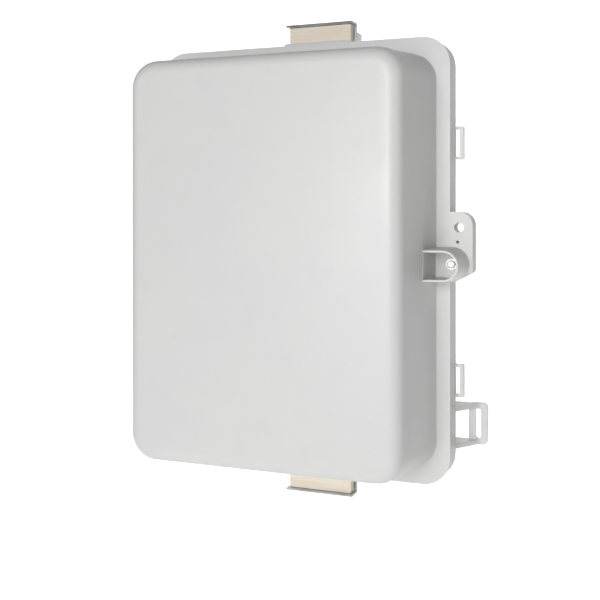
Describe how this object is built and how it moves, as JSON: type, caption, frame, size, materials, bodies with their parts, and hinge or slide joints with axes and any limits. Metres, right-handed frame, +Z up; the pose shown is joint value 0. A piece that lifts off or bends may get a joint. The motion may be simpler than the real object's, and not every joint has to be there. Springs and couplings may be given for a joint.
{
  "type": "outdoor wireless bridge",
  "caption": "Weatherproof case with a deep hinged lid, hasp, panel antenna and radio inside, and steel channel brackets that clamp to a pole.",
  "frame": {"origin": "on the axis of the pole that the brackets clamp, level with the middle of the case", "axes": "+Z up along the pole, -Y out of the lid's front face, +X towards the hasp"},
  "size_m": [0.3652, 0.2544, 0.507],
  "materials": {
    "case_plastic": "light grey weatherproof moulding, satin, fine spark-eroded texture",
    "rubber": "black foam rubber",
    "stainless": "stainless, lightly brushed",
    "brass": "bright machined",
    "aluminium": "mill finish sheet",
    "circuit_board": "green solder mask",
    "dark_plastic": "black moulding",
    "cable_jacket": "black cable jacket",
    "zinc_steel": "zinc plated steel",
    "cream_block": "cream packing block, faint streaks"
  },
  "bodies": {
    "case": {"base_housing": "case_plastic", "lid_gasket": "rubber", "port_gasket": "rubber", "hinge_pin_upper": "stainless", "hinge_pin_lower": "stainless", "plate_screw_1": "stainless", "plate_screw_2": "stainless", "plate_screw_3": "stainless", "plate_screw_4": "stainless", "clamp_band_upper": "stainless", "clamp_band_lower": "stainless", "band_housing_upper": "stainless", "band_housing_lower": "stainless", "latch_insert": "brass", "ground_stud": "brass", "ground_nut": "brass", "feed_connector_left": "brass", "feed_connector_right": "brass", "coax_jack_left": "brass", "coax_jack_right": "brass", "mounting_plate": "aluminium", "antenna_reflector": "aluminium", "radio_shield": "aluminium", "antenna_standoff_1": "aluminium", "antenna_standoff_2": "aluminium", "antenna_standoff_3": "aluminium", "antenna_standoff_4": "aluminium", "radio_board": "circuit_board", "antenna_board": "circuit_board", "radio_carrier": "dark_plastic", "ethernet_jack": "dark_plastic", "surge_module": "dark_plastic", "surge_terminal": "dark_plastic", "ethernet_port": "dark_plastic", "port_nut": "dark_plastic", "vent_plug": "dark_plastic", "coax_lead_left": "cable_jacket", "coax_lead_right": "cable_jacket", "entry_lead": "cable_jacket", "radio_lead": "cable_jacket", "pole_bracket_upper": "zinc_steel", "pole_bracket_lower": "zinc_steel", "bracket_bolt_upper_left": "zinc_steel", "bracket_bolt_upper_right": "zinc_steel", "bracket_bolt_lower_left": "zinc_steel", "bracket_bolt_lower_right": "zinc_steel", "bracket_nut_upper_left": "zinc_steel", "bracket_nut_upper_right": "zinc_steel", "bracket_nut_lower_left": "zinc_steel", "bracket_nut_lower_right": "zinc_steel", "spacer_block_upper": "cream_block", "spacer_block_lower": "cream_block"},
    "lid": {"lid_cover": "case_plastic"},
    "latch_ring": {"latch_washer": "stainless"},
    "latch": {"latch_screw": "stainless"},
    "cap_disc": {"port_cap_seal": "rubber"},
    "cap": {"port_cap": "dark_plastic"},
    "clamp_screw_upper": {"band_screw_upper": "stainless"},
    "clamp_screw_lower": {"band_screw_lower": "stainless"}
  },
  "joints": [
    {"name": "lid_hinge", "type": "hinge", "parent": "case", "child": "lid", "pos_m": [-0.16355, -0.08735, 0], "axis": [0, 0, -1], "range_deg": [0, 110]},
    {"name": "latch_travel", "type": "slide", "parent": "lid", "child": "latch_ring", "axis": [0, -1, 0], "range_m": [0, 0.007]},
    {"name": "latch_turn", "type": "hinge", "parent": "latch_ring", "child": "latch", "pos_m": [0.15875, -0.115, -0.003], "axis": [0, -1, 0], "range_deg": [0, 3601]},
    {"name": "cap_travel", "type": "slide", "parent": "case", "child": "cap_disc", "axis": [0, 0, -1], "range_m": [0, 0.006]},
    {"name": "cap_turn", "type": "hinge", "parent": "cap_disc", "child": "cap", "pos_m": [0.075, -0.06935, -0.212], "axis": [0, 0, -1], "range_deg": [0, 1441]},
    {"name": "band_screw_upper_turn", "type": "hinge", "parent": "case", "child": "clamp_screw_upper", "pos_m": [0, 0.03645, 0.2385], "axis": [1, 0, 0], "continuous": true},
    {"name": "band_screw_lower_turn", "type": "hinge", "parent": "case", "child": "clamp_screw_lower", "pos_m": [0, 0.03645, -0.2445], "axis": [1, 0, 0], "continuous": true}
  ],
  "couplings": [
    {"joint": "latch_turn", "follows": "latch_travel", "rad_per_m": 8976},
    {"joint": "cap_turn", "follows": "cap_travel", "rad_per_m": 4188.8}
  ]
}
